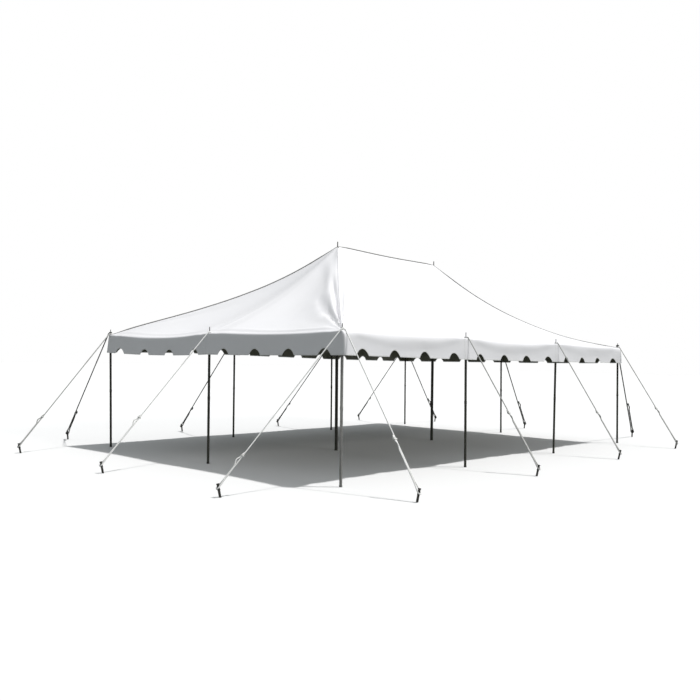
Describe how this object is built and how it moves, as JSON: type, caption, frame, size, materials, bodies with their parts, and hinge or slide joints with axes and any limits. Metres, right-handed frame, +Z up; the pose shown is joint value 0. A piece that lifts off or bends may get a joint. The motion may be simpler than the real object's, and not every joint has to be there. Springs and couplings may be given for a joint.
{
  "type": "pole marquee tent",
  "caption": "Open-sided rectangular pole marquee with a white peaked vinyl top, scalloped valance, steel poles, guy ropes and ground stakes.",
  "frame": {"origin": "on the ground, at the middle of the rectangle that the tent and its stakes cover", "axes": "+Z up; +Y along the tent's length, from the front end to the back; +X to the right, across the short ends"},
  "size_m": [9.4025, 12.7993, 4.05],
  "materials": {
    "vinyl": "white PVC-coated polyester, semi-matt",
    "galvanised_steel": "dull galvanised tube, weathered",
    "rope": "white three-strand polyester rope",
    "stake_steel": "dark forged steel, soiled"
  },
  "bodies": {
    "root": {"canopy_front_slope": "vinyl", "canopy_right_slope": "vinyl", "canopy_back_slope": "vinyl", "canopy_left_slope": "vinyl", "front_valance": "vinyl", "right_valance": "vinyl", "back_valance": "vinyl", "left_valance": "vinyl", "pole_front_left": "galvanised_steel", "pole_front_middle": "galvanised_steel", "pole_front_right": "galvanised_steel", "pole_right_front": "galvanised_steel", "pole_right_back": "galvanised_steel", "pole_back_right": "galvanised_steel", "pole_back_middle": "galvanised_steel", "pole_back_left": "galvanised_steel", "pole_left_back": "galvanised_steel", "pole_left_front": "galvanised_steel", "centre_pole_front": "galvanised_steel", "centre_pole_back": "galvanised_steel", "guy_front_left_front": "rope", "guy_front_left_left": "rope", "guy_front_middle_front": "rope", "guy_front_right_front": "rope", "guy_front_right_right": "rope", "guy_right_front_right": "rope", "guy_right_back_right": "rope", "guy_back_right_right": "rope", "guy_back_right_back": "rope", "guy_back_middle_back": "rope", "guy_back_left_back": "rope", "guy_back_left_left": "rope", "guy_left_back_left": "rope", "guy_left_front_left": "rope", "stake_front_left_front": "stake_steel", "stake_front_left_left": "stake_steel", "stake_front_middle_front": "stake_steel", "stake_front_right_front": "stake_steel", "stake_front_right_right": "stake_steel", "stake_right_front_right": "stake_steel", "stake_right_back_right": "stake_steel", "stake_back_right_right": "stake_steel", "stake_back_right_back": "stake_steel", "stake_back_middle_back": "stake_steel", "stake_back_left_back": "stake_steel", "stake_back_left_left": "stake_steel", "stake_left_back_left": "stake_steel", "stake_left_front_left": "stake_steel"}
  },
  "joints": []
}
